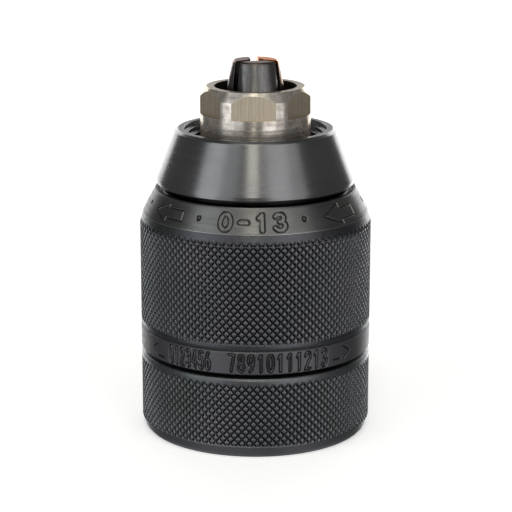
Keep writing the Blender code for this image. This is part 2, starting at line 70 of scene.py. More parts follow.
NOSE_R = 10.13
SLEEVE_BORE_R = 18.6
SPIGOT_R = 19.9
BAND_BORE_R = 20.05
REAR_BORE_R = 17.35
REAR_WEB_R = 14.3

# The knurl's pitch upwards and its grooves around, with mesh steps for each diamond.
KNURL_RISE = 1.45
KNURL_COUNT = 95
KNURL_STEPS = 8
KNURL_COLUMNS = KNURL_COUNT * KNURL_STEPS
KNURL_ROW = KNURL_RISE / KNURL_STEPS
KNURL_DEPTH = 0.34
KNURL_FLANK = (0.04, 0.22)

# The clamping sleeve's wall, the corner above it, and the seam between its two fine pieces.
WALL_TOP_Z = 39.1
CORNER_R, CORNER_Z = 20.7, 41.4
SEAM_Z = 41.2
SEAM_R = CORNER_R + (CORNER_Z - SEAM_Z) * (SLEEVE_R - CORNER_R) / (CORNER_Z - WALL_TOP_Z)
SHOULDER_BORE_R = 17.9

CAP_LEDGE_Z = 46.34
CAP_SKIRT_R = 16.3
CAP_GROOVE_R = 17.1
CAP_GROOVE_Z = 45.3
CAP_FOOT_R = 17.7

# The threaded spindle bore, drawn as plain rings.
THREAD_PITCH = 1.27
THREAD_RINGS = 11
THREAD_FIRST_Z = 1.2
THREAD_CREST_R, THREAD_ROOT_R = 6.0, 6.45
SPINDLE_END_Z = 16.0

FLAT_AZIMUTH = -92.0
FLAT_DISTANCE = 9.3
FLAT_BOTTOM = 59.35

JAW_ANGLE = math.radians(15.0)
JAW_R = 3.9
JAW_AZIMUTHS = (-82.0, 38.0, 158.0)
JAW_RISE = 2.5 * math.cos(JAW_ANGLE)
JAW_TRAVEL_Z = 20.0 * math.cos(JAW_ANGLE)
TEETH_START_Z = 38.05
TEETH_LOWEST_Z = 35.8
RING_TOP_Z = 43.2

# A gap between two jaw teeth: offsets from the jaw's axis with half widths, around the ring's offset.
GAP_FOOT = (2.75, 0.505)
GAP_MOUTH = (4.4, 1.133)
RING_OFFSET = 3.0

# What finish_edges clears before and after the bevel.
SLIVER = 0.03
WELD = 0.002


# ---------------------------------------------------------------- turned meshes


def rounded(corners, arc_points=5):
    """A closed profile from (radius, height, fillet) corners, with each fillet drawn as an arc."""
    points = []
    count = len(corners)
    for index, (radius, height, fillet) in enumerate(corners):
        here = Vector((radius, height))
        before = Vector(corners[index - 1][:2]) - here
        after = Vector(corners[(index + 1) % count][:2]) - here
        if fillet <= 0:
            points.append((radius, height))
            continue
        half = before.angle(after) / 2
        back = min(fillet / math.tan(half), before.length * 0.49, after.length * 0.49)
        start, end = here + before.normalized() * back, here + after.normalized() * back
        for step in range(arc_points):
            share = step / (arc_points - 1)
            point = start.lerp(here, share).lerp(here.lerp(end, share), share)
            points.append((point.x, point.y))
    return points


def divided(points, spacing, inside):
    """A closed profile with a point at each multiple of a height on the sides whose ends both pass a test."""
    made = []
    for first, second in zip(points, points[1:] + points[:1]):
        made.append(first)
        if not (inside(*first) and inside(*second)):
            continue
        low, high = sorted((first[1], second[1]))
        steps = range(math.ceil(low / spacing + 0.3), math.floor(high / spacing - 0.3) + 1)
        for step in steps if low == first[1] else reversed(steps):
            share = (step * spacing - first[1]) / (second[1] - first[1])
            made.append((first[0] + (second[0] - first[0]) * share, step * spacing))
    return made


def lathe(name, profile, columns, relief=None, smooth=30):
    """A turned piece about the Z axis, with a row for each point of its profile.

    The relief function takes arrays of azimuth, radius and height. It returns how deep each point is cut, in
    millimetres, and the share kept in the "relief" attribute, from 0 in a hollow to 1; materials darken low
    shares as painted shade.
    """
    profile = np.array(profile)
    rows = len(profile)
    azimuth = np.linspace(0, 2 * math.pi, columns, endpoint=False)
    radius = np.repeat(profile[:, :1], columns, 1)
    height = np.repeat(profile[:, 1:], columns, 1)
    turn = np.repeat(azimuth[None], rows, 0)
    share = np.ones_like(radius)
    if relief:
        depth, share = relief(turn, radius, height)
        radius = radius - depth
    points = np.stack([radius * np.cos(turn), radius * np.sin(turn), height], -1).reshape(-1, 3) * MM
    row = np.arange(rows)[:, None] * columns
    after = (np.arange(rows)[:, None] + 1) % rows * columns
    column = np.arange(columns)[None]
    beside = (column + 1) % columns
    quads = np.stack([row + column, after + column, after + beside, row + beside], -1).reshape(-1, 4)
    mesh = bpy.data.meshes.new(name)
    mesh.from_pydata(points.tolist(), [], quads.tolist())
    mesh.attributes.new("relief", "FLOAT", "POINT").data.foreach_set("value", share.ravel())
    mesh.shade_smooth()
    mesh.set_sharp_from_angle(angle=math.radians(smooth))
    thing = bpy.data.objects.new(name, mesh)
    bpy.context.scene.collection.objects.link(thing)
    return thing


def boolean(thing, tool):
    """Cut a tool out of a mesh, keep the result and remove the tool."""
    step = thing.modifiers.new("cut", "BOOLEAN")
    step.operation = "DIFFERENCE"
    step.solver = "EXACT"
    step.object = tool
    bpy.context.view_layer.update()
    graph = bpy.context.evaluated_depsgraph_get()
    mesh = bpy.data.meshes.new_from_object(thing.evaluated_get(graph))
    thing.modifiers.clear()
    thing.data = mesh
    bpy.data.objects.remove(tool)


def smoothstep(value, low, high):
    """A soft step from 0 to 1 between two values."""
    share = np.clip((value - low) / (high - low), 0, 1)
    return share * share * (3 - 2 * share)


def knurl(wall_r, bottom, top, plain):
    """A diamond knurl between two heights: grooves that lean both ways, cut inwards from a wall radius.

    Where the wall falls back, the grooves run out as they do behind a knurling wheel. The share is painted
    shade: it falls to 0 along a groove, less far where two cross, and it is the plain share, a darker tone,
    where nothing is cut.
    """

    def relief(turn, radius, height):
        across = turn / (2 * math.pi) * KNURL_COUNT
        up = height / KNURL_RISE + 0.5 / KNURL_STEPS
        leaning = [np.abs((across + sign * up + 0.5) % 1 - 0.5) for sign in (1, -1)]
        lines = [1 - smoothstep(distance, *KNURL_FLANK) for distance in leaning]
        most, least = np.maximum(*lines), np.minimum(*lines)
        # How dark each point is painted: shade in the grooves, lighter where two cross.
        deep, dark = most - 0.4 * least, most - 0.75 * least
        fade = smoothstep(height, bottom - 0.1, bottom + 0.15)
        fade *= 1 - smoothstep(height, top - 0.15, top + 0.1)
        depth = np.maximum(radius - wall_r + KNURL_DEPTH * deep, 0) * fade * (radius > wall_r - 0.8)
        return depth, np.where(depth > 0, 1 - dark * fade - (1 - plain) * (1 - fade), plain)

    return relief


# ---------------------------------------------------------------- engraved marks


def bow(centre, size, first, last, count=9):
    """Points along part of an ellipse, angles in degrees."""
    angles = np.radians(np.linspace(first, last, count))
    return [(centre[0] + size[0] * math.cos(a), centre[1] + size[1] * math.sin(a)) for a in angles]


# Strokes of the numerals in a cell one unit wide and one unit high.
GLYPHS = {
    "4": [[(0.7, 0.0), (0.7, 1.0), (0.02, 0.3), (1.0, 0.3)]],
    "6": [bow((0.5, 0.3), (0.46, 0.3), 0, 360, 17), bow((0.9, 0.3), (0.86, 0.72), 180, 105, 7)],
    "9": [bow((0.5, 0.7), (0.46, 0.3), 0, 360, 17), bow((0.1, 0.7), (0.86, 0.72), 0, -75, 7)],
    "-": [[(0.15, 0.5), (0.85, 0.5)]],
    "0": [bow((0.5, 0.5), (0.5, 0.5), 0, 360, 21)],
    "1": [[(0.22, 0.78), (0.55, 1.0), (0.55, 0.0)]],
    "2": [bow((0.5, 0.72), (0.46, 0.28), 170, -30) + [(0.04, 0.0), (0.96, 0.0)]],
    "3": [bow((0.48, 0.76), (0.42, 0.24), 155, -90), bow((0.48, 0.27), (0.5, 0.27), 90, -155)],
    "5": [[(0.9, 1.0), (0.14, 1.0), (0.08, 0.56)] + bow((0.46, 0.32), (0.5, 0.33), 130, -150, 11)],
    "7": [[(0.05, 1.0), (0.95, 1.0), (0.4, 0.0)]],
    "8": [bow((0.5, 0.76), (0.4, 0.24), 0, 360, 15), bow((0.5, 0.26), (0.5, 0.26), 0, 360, 17)],
}
LEFT_BLOCK_ARROW = [
    (0, 0.5), (0.5, 1.0), (0.5, 0.75), (1.0, 0.75), (1.0, 0.25), (0.5, 0.25), (0.5, 0), (0, 0.5),
]
LEFT_LINE_ARROW = [[(0.5, 1.0), (0, 0.5), (0.5, 0.0)], [(0.45, 0.5), (1.0, 0.5)]]


def placed(strokes, middle, base, size, mirror=False):
    """Strokes scaled and moved to their place on the unrolled surface."""
    width, tall = size
    return [
        [(middle + ((0.5 - x) if mirror else (x - 0.5)) * width, base + y * tall) for x, y in stroke]
        for stroke in strokes
    ]


def written(text, start, pitch, base, size):
    """The strokes of a row of numerals."""
    strokes = []
    for index, letter in enumerate(text):
        strokes += placed(GLYPHS[letter], start + (index + 0.5) * pitch, base, size)
    return strokes


def distance_to(strokes, x, y):
    """Each point's distance to the nearest stroke."""
    nearest = np.full(x.shape, 1e3)
    for stroke in strokes:
        for (ax, ay), (bx, by) in zip(stroke, stroke[1:]):
            dx, dy = bx - ax, by - ay
            share = np.clip(((x - ax) * dx + (y - ay) * dy) / max(dx * dx + dy * dy, 1e-9), 0, 1)
            nearest = np.minimum(nearest, np.hypot(x - ax - share * dx, y - ay - share * dy))
    return nearest


def unrolled(turn, radius, middle_degrees):
    """Arc length from an azimuth, wrapped to half a turn each way."""
    angle = (turn - math.radians(middle_degrees) + math.pi) % (2 * math.pi) - math.pi
    return angle * radius


FRONT = -90.0
ENGRAVING = 0.2


def groove(distance, width):
    """A groove's share of its depth, from the distance to its middle line."""
    return 1 - smoothstep(distance, width * 0.3, width * 0.75)


def shoulder_marks(turn, radius, height):
    """Outlined numerals, block arrows and punched dots on the sleeve's sloping shoulder."""
    slant = np.hypot(radius - CORNER_R, height - CORNER_Z) * np.sign(height - CORNER_Z)
    mean_r, tall, line, bold = 19.6, 3.7, 0.24, 0.42
    cut = np.zeros_like(turn)
    for azimuth in (-2.6, 113.4, -118.6):
        x = unrolled(turn, mean_r, FRONT + azimuth)
        strokes = written("0-13", -6.1, 3.25, 0.6, (1.9, tall - 0.8))
        outline = np.abs(distance_to(strokes, x, slant) - bold)
        cut = np.maximum(cut, groove(outline, line))
        for side in (-9.7, 9.9):
            ring = np.abs(np.hypot(x - side, slant - 2.3) - 0.34)
            cut = np.maximum(cut, groove(ring, line * 1.4))
    for azimuth in (-52.5, 50.3, 178.0):
        x = unrolled(turn, mean_r, FRONT + azimuth)
        arrow = placed([LEFT_BLOCK_ARROW], 0.0, 0.2, (8.0, 3.9))
        cut = np.maximum(cut, groove(distance_to(arrow, x, slant), line))
    x = unrolled(turn, mean_r, FRONT - 75.0)
    cut = np.maximum(cut, groove(np.hypot(x, slant - 2.6), 0.6))
    wall = (height > CORNER_Z + 0.08) & (height < SLEEVE_TOP - 0.28) & (radius > SLEEVE_BORE_R)
    cut = cut * wall
    # The share leaves the engraved grooves dark: painted shade.
    return cut * ENGRAVING, 1 - cut


def band_marks(turn, radius, height):
    """The row of outlined numerals, a scale from 0 to 13, between two line arrows on the marking ring."""
    base, tall, line, bold = BAND_BOTTOM + 0.4, 3.5, 0.25, 0.2
    cut = np.zeros_like(turn)
    for azimuth in (0.0, 180.0):
        x = unrolled(turn, BAND_R, FRONT + azimuth)
        strokes = written("0123456", -17.7, 1.37, base + 0.2, (0.72, tall - 0.4))
        strokes += written("78910111213", -5.2, 1.76, base + 0.2, (0.98, tall - 0.4))
        outline = np.abs(distance_to(strokes, x, height) - bold)
        cut = np.maximum(cut, groove(outline, line))
        arrows = placed([LEFT_LINE_ARROW[0]], -21.0, base + 0.5, (3.2, 2.3))
        arrows += placed([LEFT_LINE_ARROW[1]], -20.6, base - 0.1, (3.2, 1.3))
        arrows += placed([LEFT_LINE_ARROW[0]], 18.0, base + 0.6, (3.6, 2.4), mirror=True)
        arrows += placed([LEFT_LINE_ARROW[1]], 17.0, base + 0.2, (3.2, 1.3), mirror=True)
        cut = np.maximum(cut, groove(distance_to(arrows, x, height), 0.3))
    cut = cut * (radius > BAND_R - 0.05)
    # The share leaves the engraved grooves dark: painted shade.
    return cut * ENGRAVING, 1 - cut


# ---------------------------------------------------------------- materials


def steel(
    name,
    colour,
    second,
    roughness,
    spread=0.08,
    grain=(60, 60, 2600),
    bump=0.05,
    blotch=90.0,
    hollow=None,
    tip=None,
    wear_and_highlight=1.5,
    turned=0.0,
    streak=0.0,
    metallic=1.0,
    glancing=(1.0, 1.0, 1.0),
):
    """A procedural steel: two blotched colours, grain in roughness and bump, painted shade in hollows, and
    edges lightened both by use and as a painted highlight.

    The tip is a colour that comes in over a height range. Turned steel draws its reflections out along the
    axis, and the streak is the share of the grain's lines in the colour. The glancing colour tints shallow
    reflections.
    """
    made = bpy.data.materials.new(name)
    made.use_nodes = True
    tree = made.node_tree
    nodes, links = tree.nodes, tree.links
    shader = nodes["Principled BSDF"]
    shader.inputs["Metallic"].default_value = metallic
    shader.inputs["Specular Tint"].default_value = (*glancing, 1.0)

    place = nodes.new("ShaderNodeTexCoord")
    stretch = nodes.new("ShaderNodeMapping")
    stretch.inputs["Scale"].default_value = grain
    links.new(place.outputs["Object"], stretch.inputs["Vector"])
    lines = nodes.new("ShaderNodeTexNoise")
    lines.inputs["Scale"].default_value = 1.0
    lines.inputs["Detail"].default_value = 4.0
    links.new(stretch.outputs["Vector"], lines.inputs["Vector"])
    patches = nodes.new("ShaderNodeTexNoise")
    patches.inputs["Scale"].default_value = blotch
    patches.inputs["Detail"].default_value = 5.0
    links.new(place.outputs["Object"], patches.inputs["Vector"])

    def between(value, low, high, to_low, to_high):
        step = nodes.new("ShaderNodeMapRange")
        for socket, number in zip(("From Min", "From Max", "To Min", "To Max"), (low, high, to_low, to_high)):
            step.inputs[socket].default_value = number
        links.new(value, step.inputs["Value"])
        return step.outputs["Result"]

    def mixed(share, first, then):
        step = nodes.new("ShaderNodeMix")
        step.data_type = "RGBA"
        links.new(share, step.inputs["Factor"])
        for socket, what in (("A", first), ("B", then)):
            target = next(s for s in step.inputs if s.name == socket and s.type == "RGBA")
            if isinstance(what, tuple):
                target.default_value = (*what, 1.0)
            else:
                links.new(what, target)
        return next(s for s in step.outputs if s.type == "RGBA")

    share = nodes.new("ShaderNodeMix")
    share.inputs["Factor"].default_value = streak
    links.new(between(patches.outputs["Fac"], 0.35, 0.68, 0.0, 1.0), share.inputs["A"])
    links.new(between(lines.outputs["Fac"], 0.35, 0.65, 0.0, 1.0), share.inputs["B"])
    tone = mixed(share.outputs["Result"], colour, second)
    # Low relief shares take the dark hollow colour: painted shade in grooves, engravings and the cap's mouth.
    if hollow:
        level = nodes.new("ShaderNodeAttribute")
        level.attribute_name = "relief"
        tone = mixed(between(level.outputs["Fac"], 0.0, 0.8, 0.0, 1.0), hollow, tone)
    if tip:
        tint, low, high = tip
        split = nodes.new("ShaderNodeSeparateXYZ")
        links.new(place.outputs["Object"], split.inputs["Vector"])
        ragged = nodes.new("ShaderNodeMath")
        ragged.operation = "MULTIPLY_ADD"
        ragged.inputs[1].default_value = 1.5 * MM
        links.new(patches.outputs["Fac"], ragged.inputs[0])
        links.new(split.outputs["Z"], ragged.inputs[2])
        tone = mixed(between(ragged.outputs["Value"], low * MM, high * MM, 0.0, 1.0), tone, tint)
    # Edges lighten towards a brighter colour: partly wear, partly a painted highlight on rims and chamfers.
    worn_and_highlit = tuple(min(1.0, wear_and_highlight * channel + 0.02) for channel in colour)
    rounded_edge = nodes.new("ShaderNodeBevel")
    rounded_edge.samples = 6
    rounded_edge.inputs["Radius"].default_value = 0.12 * MM
    plain = nodes.new("ShaderNodeNewGeometry")
    turning = nodes.new("ShaderNodeVectorMath")
    turning.operation = "DOT_PRODUCT"
    links.new(rounded_edge.outputs["Normal"], turning.inputs[0])
    links.new(plain.outputs["Normal"], turning.inputs[1])
    tone = mixed(between(turning.outputs["Value"], 0.90, 0.985, 0.8, 0.0), tone, worn_and_highlit)
    links.new(tone, shader.inputs["Base Color"])
    if turned:
        around = nodes.new("ShaderNodeTangent")
        around.direction_type = "RADIAL"
        around.axis = "Z"
        links.new(around.outputs["Tangent"], shader.inputs["Tangent"])
        shader.inputs["Anisotropic"].default_value = turned
        shader.inputs["Anisotropic Rotation"].default_value = 0.25

    rough = nodes.new("ShaderNodeMath")
    rough.operation = "ADD"
    fine = between(lines.outputs["Fac"], 0.3, 0.7, roughness - spread, roughness + spread)
    coarse = between(patches.outputs["Fac"], 0.3, 0.7, -spread / 2, spread / 2)
    links.new(fine, rough.inputs[0])
    links.new(coarse, rough.inputs[1])
    links.new(rough.outputs["Value"], shader.inputs["Roughness"])

    relief = nodes.new("ShaderNodeBump")
    relief.inputs["Strength"].default_value = bump
    relief.inputs["Distance"].default_value = 0.0002
    links.new(lines.outputs["Fac"], relief.inputs["Height"])
    links.new(relief.outputs["Normal"], shader.inputs["Normal"])
    return made


def dress(thing, look):
    """Give a piece one material."""
    thing.data.materials.clear()
    thing.data.materials.append(look)


TURNED = (60, 60, 2600)
GROUND_UPRIGHT = (2600, 2600, 50)
SPECKLED = (1500, 1500, 1500)

# The hollow colours paint shade into knurl grooves, engravings and the cap's mouth and groove; the wear
# figures lighten edges, partly as a painted highlight.
upper_black = steel(
    "knurled_blackened_steel", (0.135, 0.135, 0.150), (0.105, 0.118, 0.118), 0.38, 0.08, SPECKLED, 0.12,
    hollow=(0.010, 0.010, 0.012),
)
lower_black = steel(
    "pitted_blackened_steel", (0.150, 0.150, 0.163), (0.108, 0.122, 0.122), 0.38, 0.08, SPECKLED, 0.12,
    hollow=(0.010, 0.010, 0.012),
)
shoulder_black = steel(
    "turned_blackened_steel", (0.165, 0.165, 0.160), (0.115, 0.115, 0.115), 0.34, 0.07, TURNED, 0.10,
    hollow=(0.03, 0.03, 0.03), turned=0.3, wear_and_highlight=3.2, glancing=(0.62, 0.62, 0.62),
)
band_black = steel(
    "matte_blackened_steel", (0.140, 0.140, 0.150), (0.115, 0.115, 0.123), 0.48, 0.06, SPECKLED, 0.15,
    hollow=(0.02, 0.02, 0.022),
)
cap_black = steel(
    "satin_blackened_steel", (0.21, 0.21, 0.212), (0.165, 0.165, 0.17), 0.25, 0.03, TURNED, 0.015,
    hollow=(0.01, 0.01, 0.01), turned=0.3, wear_and_highlight=3.6, glancing=(0.75, 0.75, 0.75),
)
body_steel = steel(
    "brushed_bare_steel", (0.70, 0.66, 0.60), (0.36, 0.32, 0.28), 0.24, 0.08, TURNED, 0.18, blotch=700.0,
    turned=0.75, wear_and_highlight=1.3, streak=0.3, metallic=0.87, glancing=(0.62, 0.58, 0.53),
)
flat_steel = steel(
    "ground_bare_steel", (0.86, 0.75, 0.60), (0.52, 0.45, 0.36), 0.38, 0.08, GROUND_UPRIGHT, 0.35,
    blotch=300.0, wear_and_highlight=1.2, streak=0.7, glancing=(0.22, 0.21, 0.19),
)
# Painted shade: a dark steel for the inner walls of the mouth and for the faces under the sleeves.
shaded_bore_steel = steel(
    "bore_steel_painted_shade", (0.10, 0.085, 0.075), (0.05, 0.045, 0.04), 0.35, 0.08, TURNED, 0.2, blotch=300.0,
)
jaw_steel = steel(
    "hardened_jaw_steel", (0.20, 0.19, 0.18), (0.11, 0.11, 0.115), 0.28, 0.06, GROUND_UPRIGHT, 0.10,
    tip=((0.11, 0.08, 0.065), 69.0, 70.0), wear_and_highlight=2.6, streak=0.4, glancing=(0.8, 0.72, 0.7),
)
copper_tipped_steel = steel(
    "copper_tipped_jaw_steel", (0.20, 0.19, 0.18), (0.11, 0.11, 0.115), 0.28, 0.06, GROUND_UPRIGHT, 0.10,
    tip=((0.60, 0.19, 0.05), 68.6, 69.4), wear_and_highlight=2.0, streak=0.4, glancing=(1.0, 0.80, 0.66),
)
oiled_steel = steel("oiled_hard_steel", (0.24, 0.235, 0.23), (0.15, 0.15, 0.15), 0.30, 0.08, TURNED, 0.15)
race_steel = steel("polished_race_steel", (0.62, 0.62, 0.63), (0.54, 0.54, 0.56), 0.14, 0.04, TURNED, 0.05)
ball_steel = steel("polished_ball_steel", (0.66, 0.66, 0.68), (0.58, 0.58, 0.60), 0.07, 0.03, SPECKLED, 0.02)
spring_steel = steel("satin_spring_steel", (0.34, 0.33, 0.35), (0.24, 0.23, 0.27), 0.27, 0.06, SPECKLED, 0.08)
cage_brass = steel("tumbled_brass", (0.72, 0.54, 0.27), (0.58, 0.41, 0.19), 0.30, 0.08, SPECKLED, 0.12)


# ---------------------------------------------------------------- pieces


def sleeve_barrel():
    """The clamping sleeve's knurled wall with its spigot and the steep band under the shoulder."""
    foot = BAND_TOP + 0.03
    corners = [
        (SLEEVE_BORE_R, SEAM_Z, 0),
        (SEAM_R, SEAM_Z, 0),
        (SLEEVE_R, WALL_TOP_Z, 0.4),
        (SLEEVE_R, 20.6, 0.2),
        (SLEEVE_R - 0.22, foot, 0.05),
        (SPIGOT_R, foot, 0),
        (SPIGOT_R, SLEEVE_BOTTOM, 0.1),
        (SLEEVE_BORE_R, SLEEVE_BOTTOM, 0.1),
    ]
    wall = divided(rounded(corners), KNURL_ROW, lambda r, z: r > SEAM_R - 0.01 and z > foot + 0.1)
    relief = knurl(SLEEVE_R, 21.3, 39.9, plain=0.5)
    barrel = lathe("sleeve_barrel", wall, KNURL_COLUMNS, relief, smooth=60)
    dress(barrel, upper_black)
    return barrel


def sleeve_shoulder():
    """The clamping sleeve's sloping shoulder with its engraved marks."""
    corners = [
        (SHOULDER_BORE_R, SLEEVE_TOP, 0.05),
        (SLEEVE_BORE_R - 0.18, SLEEVE_TOP, 0.12),
        (SLEEVE_BORE_R, SLEEVE_TOP - 0.25, 0.1),
        (CORNER_R, CORNER_Z, 0.12),
        (SEAM_R, SEAM_Z, 0),
        (SLEEVE_BORE_R, SEAM_Z, 0),
        (SHOULDER_BORE_R, SEAM_Z, 0),
    ]
    outline = divided(rounded(corners), 0.1, lambda r, z: r > SLEEVE_BORE_R - 0.05 and z > SEAM_Z + 0.1)
    shoulder = lathe("sleeve_shoulder", outline, 1520, shoulder_marks, smooth=60)
    dress(shoulder, shoulder_black)
    return shoulder


def marking_ring():
    """The band with the engraved numerals and arrows."""
    edge = 0.25
    corners = [
        (BAND_BORE_R, BAND_TOP, 0),
        (BAND_R - edge, BAND_TOP, 0.1),
        (BAND_R, BAND_TOP - edge, 0.1),
        (BAND_R, BAND_BOTTOM + edge, 0.1),
        (BAND_R - edge, BAND_BOTTOM, 0.1),
        (BAND_BORE_R, BAND_BOTTOM, 0),
    ]
    outline = divided(rounded(corners), 0.085, lambda r, z: r > BAND_R - 0.02)
    band = lathe("engraved_marking_ring", outline, 1560, band_marks, smooth=60)
    dress(band, band_black)
    return band


def rear_sleeve():
    """The lower sleeve with its knurl and rounded foot."""
    corners = [
        (REAR_BORE_R, REAR_TOP, 0.1),
        (REAR_R - 0.3, REAR_TOP, 0),
        (REAR_R - 0.15, REAR_TOP - 0.15, 0),
        (REAR_R, REAR_TOP - 0.45, 0.25),
        (REAR_R, 2.1, 0.6),
        (REAR_R - 0.4, 0.8, 0.5),
        (REAR_R - 1.1, 0.0, 0.3),
        (REAR_WEB_R, 0.0, 0.1),
        (REAR_WEB_R, 2.0, 0),
        (REAR_BORE_R, 2.0, 0),
    ]
    outline = divided(rounded(corners), KNURL_ROW, lambda r, z: r > REAR_R - 0.05)
    relief = knurl(REAR_R, 2.2, 13.8, plain=0.8)
    sleeve = lathe("knurled_rear_sleeve", outline, KNURL_COLUMNS, relief, smooth=60)
    dress(sleeve, lower_black)
    return sleeve


def cap_shade(turn, radius, height):
    """No relief, but the groove above the clamping sleeve and the mouth get the dark hollow colour: painted
    shade.
    """
    inside = (height < CAP_LEDGE_Z + 0.02) | ((radius < 13.0) & (height < 54.5))
    return np.zeros_like(turn), 1.0 - inside


def front_cap():
    """The smooth conical cap with its stepped mouth."""
    corners = [
        (13.1, CAP_TOP, 0.12),
        (14.2, CAP_TOP, 0.3),
        (14.8, 56.15, 0.5),
        (18.0, 47.9, 0.25),
        (CAP_R, 47.3, 0.2),
        (CAP_R, 46.7, 0.15),
        (CAP_R - 0.25, CAP_LEDGE_Z, 0.1),
        (CAP_GROOVE_R, CAP_LEDGE_Z, 0),
        (CAP_GROOVE_R, CAP_GROOVE_Z, 0),
        (CAP_FOOT_R, CAP_GROOVE_Z, 0),
        (CAP_FOOT_R, CAP_BOTTOM, 0.1),
        (CAP_SKIRT_R, CAP_BOTTOM, 0.1),
        (CAP_SKIRT_R, CAP_LEDGE_Z, 0),
        (13.4, 53.3, 0),
        (10.6, 53.3, 0.05),
        (10.6, 54.0, 0.12),
        (11.4, 54.0, 0.05),
        (11.5, 54.9, 0.12),
        (12.25, 54.9, 0.05),
        (12.35, 55.7, 0.12),
        (12.95, 55.7, 0.05),
    ]
    cap = lathe("smooth_front_cap", rounded(corners, 6), 320, cap_shade)
    dress(cap, cap_black)
    return cap


def linked(name, work):
    """Turn a bmesh into an object in the scene, and free it."""
    mesh = bpy.data.meshes.new(name)
    work.to_mesh(mesh)
    work.free()
    thing = bpy.data.objects.new(name, mesh)
    bpy.context.scene.collection.objects.link(thing)
    return thing


def fine_cylinder(name, radius, start, end, sides):
    """A cylinder between two points in millimetres, used as a cutter or a rod."""
    start, end = Vector(start) * MM, Vector(end) * MM
    along = end - start
    turn = Vector((0, 0, 1)).rotation_difference(along).to_matrix().to_4x4()
    work = bmesh.new()
    bmesh.ops.create_cone(
        work, cap_ends=True, segments=sides, radius1=radius * MM, radius2=radius * MM, depth=along.length,
        matrix=Matrix.Translation((start + end) / 2) @ turn,
    )
    return linked(name, work)


def prism(name, outline, bottom, top):
    """An anticlockwise outline in millimetres raised between two heights."""
    work = bmesh.new()
    face = work.faces.new([work.verts.new((x * MM, y * MM, bottom * MM)) for x, y in outline])
    raised = bmesh.ops.extrude_face_region(work, geom=[face])["geom"]
    lifted = [item for item in raised if isinstance(item, bmesh.types.BMVert)]
    bmesh.ops.translate(work, vec=(0, 0, (top - bottom) * MM), verts=lifted)
    bmesh.ops.recalc_face_normals(work, faces=work.faces)
    return linked(name, work)


def jaw_rho(z):
    """Distance of a jaw's axis from the chuck axis at a height, at rest."""
    return 1.6 + (64.0 - z) * math.tan(JAW_ANGLE)


def finish_edges(thing, width):
    """Clear the slivers that cuts leave, bevel sharp edges narrowly and shade all but the flats smooth."""
    mesh = bmesh.new()
    mesh.from_mesh(thing.data)
    bmesh.ops.dissolve_degenerate(mesh, dist=SLIVER * MM, edges=mesh.edges)
    bmesh.ops.remove_doubles(mesh, verts=mesh.verts, dist=SLIVER * MM)
    mesh.to_mesh(thing.data)
    mesh.free()
    bevel = thing.modifiers.new("edges", "BEVEL")
    bevel.width = width * MM
    bevel.segments = 3
    bevel.limit_method = "ANGLE"
    bevel.angle_limit = math.radians(35)
    bevel.harden_normals = False
    weld = thing.modifiers.new("weld", "WELD")
    weld.merge_threshold = WELD * MM
    thing.data.set_sharp_from_angle(angle=math.radians(28))
    for face in thing.data.polygons:
        face.use_smooth = face.material_index != 1


def thread_rings():
    """The corners of the spindle bore's rings: one groove for each turn of the thread."""
    corners = []
    for index in range(THREAD_RINGS):
        low = THREAD_FIRST_Z + index * THREAD_PITCH
        corners.append((THREAD_CREST_R, low + 0.1, 0))
        corners.append((THREAD_ROOT_R, low + 0.5, 0))
        corners.append((THREAD_ROOT_R, low + 0.75, 0))
        corners.append((THREAD_CREST_R, low + 1.15, 0))
    return corners


def chuck_body():
    """The core: nose with six ground flats, neck, flange, jaw bores and thread rings at the rear."""
    corners = [
        (7.57, BODY_TOP, 0.12),
        (8.98, BODY_TOP, 0.1),
        (NOSE_R, 62.5, 0.12),
        (NOSE_R, 53.0, 0.05),
        (9.7, 53.0, 0),
        (9.7, 52.3, 0),
        (11.4, 52.3, 0.15),
        (11.4, 45.0, 0.1),
        (9.4, 45.0, 0),
        (9.4, 34.0, 0),
        (FLANGE_R, 34.0, 0.2),
        (FLANGE_R, 15.2, 0.15),
        (17.2, 15.2, 0),
        (17.2, 2.3, 0.2),
        (14.0, 2.3, 0),
        (14.0, 0.4, 0.1),
        (13.6, 0.0, 0.1),
        (6.7, 0.0, 0.1),
        (THREAD_CREST_R, 0.7, 0),
        *thread_rings(),
        (THREAD_CREST_R, SPINDLE_END_Z, 0),
        (3.3, SPINDLE_END_Z, 0.1),
        (3.3, 19.0, 0),
        (6.6, 19.0, 0),
        (6.6, 58.0, 0.1),
        (7.57, 58.0, 0),
    ]
    body = lathe("chuck_core", rounded(corners), 180)
    for azimuth in JAW_AZIMUTHS:
        angle = math.radians(azimuth)
        ends = []
        for z in (16.8, BODY_TOP + 2):
            ends.append((jaw_rho(z) * math.cos(angle), jaw_rho(z) * math.sin(angle), z))
        boolean(body, fine_cylinder("bore", JAW_R + 0.12, *ends, 72))
    dress(body, body_steel)
    for look in (flat_steel, shaded_bore_steel):
        body.data.materials.append(look)
    for index in range(6):
        far = FLAT_DISTANCE + 4
        outline = [(FLAT_DISTANCE, -8), (far, -8), (far, 8), (FLAT_DISTANCE, 8)]
        tool = prism("flat", outline, FLAT_BOTTOM, BODY_TOP + 1)
        tool.rotation_euler.z = math.radians(FLAT_AZIMUTH + 60 * index)
        boolean(body, tool)
    for face in body.data.polygons:
        level = abs(face.normal.z) < 0.05
        distance = face.center.x * face.normal.x + face.center.y * face.normal.y
        if level and face.center.z > FLAT_BOTTOM * MM and abs(distance - FLAT_DISTANCE * MM) < 2e-5:
            face.material_index = 1
        # The mouth's inner walls and the faces under the sleeves take the dark steel, as painted shade.
        radius = math.hypot(face.center.x, face.center.y)
        outward = face.center.x * face.normal.x + face.center.y * face.normal.y
        inside = radius < 7.7 * MM and outward < 0
        covered = FLANGE_R - 8.5 < radius / MM and 2 * MM < face.center.z < 52.2 * MM
        if inside or covered:
            face.material_index = 2
    finish_edges(body, 0.1)
    return body


